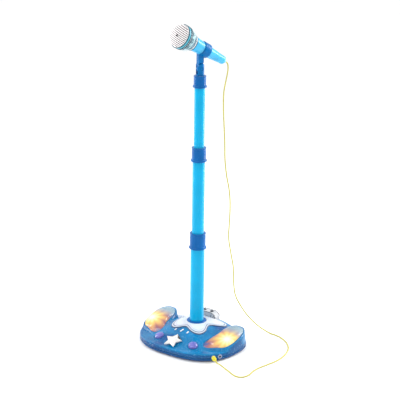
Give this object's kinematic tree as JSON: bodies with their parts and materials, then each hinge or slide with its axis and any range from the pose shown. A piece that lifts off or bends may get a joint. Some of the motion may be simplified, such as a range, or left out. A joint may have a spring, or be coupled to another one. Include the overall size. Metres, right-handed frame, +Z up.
{
  "type": "toy microphone",
  "caption": "Child's stand microphone: foot-operated light-up base, telescopic pole, tilting clip and a hand microphone on a lead plugged into the base",
  "frame": {"origin": "on the floor, under the pole's axis, where the base's middle pad stands", "axes": "+Z up along the pole; -Y is the front, where the star pedal is; +X is to the right of someone looking along +Y"},
  "size_m": [0.3476, 0.2519, 0.7597],
  "materials": {
    "base_top_shell": "glitter-filled glossy blue moulding",
    "base_bottom_cover": "fine matte moulded texture",
    "rubber_feet": "matte",
    "case_screws": "zinc plated",
    "socket_ring": "glossy",
    "splash_plate": "pearl white with printed grey lines",
    "trail_marks": "glossy",
    "star_pedal": "pearl white, faceted",
    "left_button": "glossy translucent violet",
    "right_button": "glossy translucent violet",
    "foot_switches": "matte",
    "left_lamp_lens": "clear tinted plastic, lit",
    "right_lamp_lens": "clear tinted plastic, lit",
    "left_reflector": "bright petalled reflector",
    "right_reflector": "bright petalled reflector",
    "lamp_leds": "clear LED on a green board",
    "main_board": "solder-masked board",
    "board_parts": "moulded parts",
    "speaker": "paper cone and steel frame",
    "batteries": "wrapped cells",
    "battery_contacts": "nickel plated",
    "battery_door": "fine matte moulded texture",
    "battery_door_screw": "zinc plated",
    "control_console": "silver-white gloss",
    "power_switch": "matte",
    "music_button": "matte",
    "mic_jack": "matte",
    "aux_jack": "matte",
    "jack_bezels": "glossy",
    "lower_tube": "glossy sky blue",
    "middle_tube": "glossy sky blue",
    "upper_tube": "glossy sky blue",
    "lower_collar": "glossy dark blue",
    "middle_collar": "glossy dark blue",
    "upper_collar": "glossy dark blue",
    "middle_bush": "natural nylon",
    "upper_bush": "natural nylon",
    "clip_stem": "glossy dark blue",
    "clip_holder": "glossy dark blue",
    "clip_screw": "zinc plated",
    "clip_nut": "zinc plated",
    "mic_body": "glossy, slightly translucent sky blue",
    "mic_band": "clear plastic",
    "band_inserts": "printed grey-teal",
    "mic_rings": "glossy white",
    "mic_head_ring": "glossy teal blue",
    "mic_grille": "perforated silver-white dome",
    "mic_foam": "pink open foam",
    "mic_capsule": "metal can",
    "capsule_holder": "matte",
    "mic_gland": "glossy",
    "mic_cord": "smooth yellow insulation",
    "plug_boot": "moulded yellow",
    "plug_pin": "nickel plated",
    "star_spring": "spring wire",
    "left_button_spring": "spring wire",
    "right_button_spring": "spring wire"
  },
  "bodies": {
    "base": {"base_top_shell": "base_top_shell", "base_bottom_cover": "base_bottom_cover", "rubber_feet": "rubber_feet", "case_screws": "case_screws", "socket_ring": "socket_ring", "splash_plate": "splash_plate", "trail_marks": "trail_marks", "foot_switches": "foot_switches", "left_lamp_lens": "left_lamp_lens", "right_lamp_lens": "right_lamp_lens", "left_reflector": "left_reflector", "right_reflector": "right_reflector", "lamp_leds": "lamp_leds", "main_board": "main_board", "board_parts": "board_parts", "speaker": "speaker", "batteries": "batteries", "battery_contacts": "battery_contacts", "battery_door": "battery_door", "battery_door_screw": "battery_door_screw", "control_console": "control_console", "mic_jack": "mic_jack", "aux_jack": "aux_jack", "jack_bezels": "jack_bezels", "lower_tube": "lower_tube", "lower_collar": "lower_collar", "star_spring": "star_spring", "left_button_spring": "left_button_spring", "right_button_spring": "right_button_spring", "mic_cord": "mic_cord"},
    "star_pedal": {"star_pedal": "star_pedal"},
    "left_button": {"left_button": "left_button"},
    "right_button": {"right_button": "right_button"},
    "power_switch": {"power_switch": "power_switch"},
    "music_button": {"music_button": "music_button"},
    "middle_section": {"middle_tube": "middle_tube", "middle_collar": "middle_collar", "middle_bush": "middle_bush"},
    "upper_section": {"upper_tube": "upper_tube", "upper_collar": "upper_collar", "upper_bush": "upper_bush"},
    "clip_stem": {"clip_stem": "clip_stem", "clip_screw": "clip_screw", "clip_nut": "clip_nut"},
    "clip_holder": {"clip_holder": "clip_holder"},
    "microphone": {"mic_body": "mic_body", "mic_band": "mic_band", "band_inserts": "band_inserts", "mic_rings": "mic_rings", "mic_head_ring": "mic_head_ring", "mic_grille": "mic_grille", "mic_foam": "mic_foam", "mic_capsule": "mic_capsule", "capsule_holder": "capsule_holder", "mic_gland": "mic_gland"},
    "plug": {"plug_boot": "plug_boot", "plug_pin": "plug_pin"}
  },
  "joints": [
    {"name": "middle_tube_slide", "type": "slide", "parent": "base", "child": "middle_section", "axis": [0, 0, 1], "range_m": [-0.165, 0], "deforming": ["mic_cord"]},
    {"name": "upper_tube_slide", "type": "slide", "parent": "middle_section", "child": "upper_section", "axis": [0, 0, 1], "range_m": [-0.13, 0]},
    {"name": "clip_swivel", "type": "hinge", "parent": "upper_section", "child": "clip_stem", "pos_m": [0, 0, 0.63], "axis": [0, 0, 1], "range_deg": [-90, 90]},
    {"name": "clip_tilt", "type": "hinge", "parent": "clip_stem", "child": "clip_holder", "pos_m": [0, 0, 0.656], "axis": [-0.9563, 0.2924, 0], "range_deg": [-35, 45]},
    {"name": "mic_lift_out", "type": "slide", "parent": "clip_holder", "child": "microphone", "axis": [-0.2545, -0.8323, 0.4924], "range_m": [0, 0.09]},
    {"name": "star_press", "type": "slide", "parent": "base", "child": "star_pedal", "axis": [0, 0.3601, -0.9329], "range_m": [0, 0.002], "stiffness_N_per_m": 900, "springref_m": -0.001, "deforming": ["star_spring"]},
    {"name": "left_button_press", "type": "slide", "parent": "base", "child": "left_button", "axis": [0.1819, 0.3108, -0.9329], "range_m": [0, 0.0028], "stiffness_N_per_m": 700, "springref_m": -0.001, "deforming": ["left_button_spring"]},
    {"name": "right_button_press", "type": "slide", "parent": "base", "child": "right_button", "axis": [-0.1819, 0.3108, -0.9329], "range_m": [0, 0.0028], "stiffness_N_per_m": 700, "springref_m": -0.001, "deforming": ["right_button_spring"]},
    {"name": "power_slide", "type": "slide", "parent": "base", "child": "power_switch", "axis": [1, 0, 0], "range_m": [-0.0025, 0.0025]},
    {"name": "music_press", "type": "slide", "parent": "base", "child": "music_button", "axis": [0, 0, -1], "range_m": [0, 0.0015], "stiffness_N_per_m": 400, "springref_m": -0.001},
    {"name": "plug_pull", "type": "slide", "parent": "base", "child": "plug", "axis": [0.7749, -0.6321, 0], "range_m": [0, 0.014]}
  ]
}
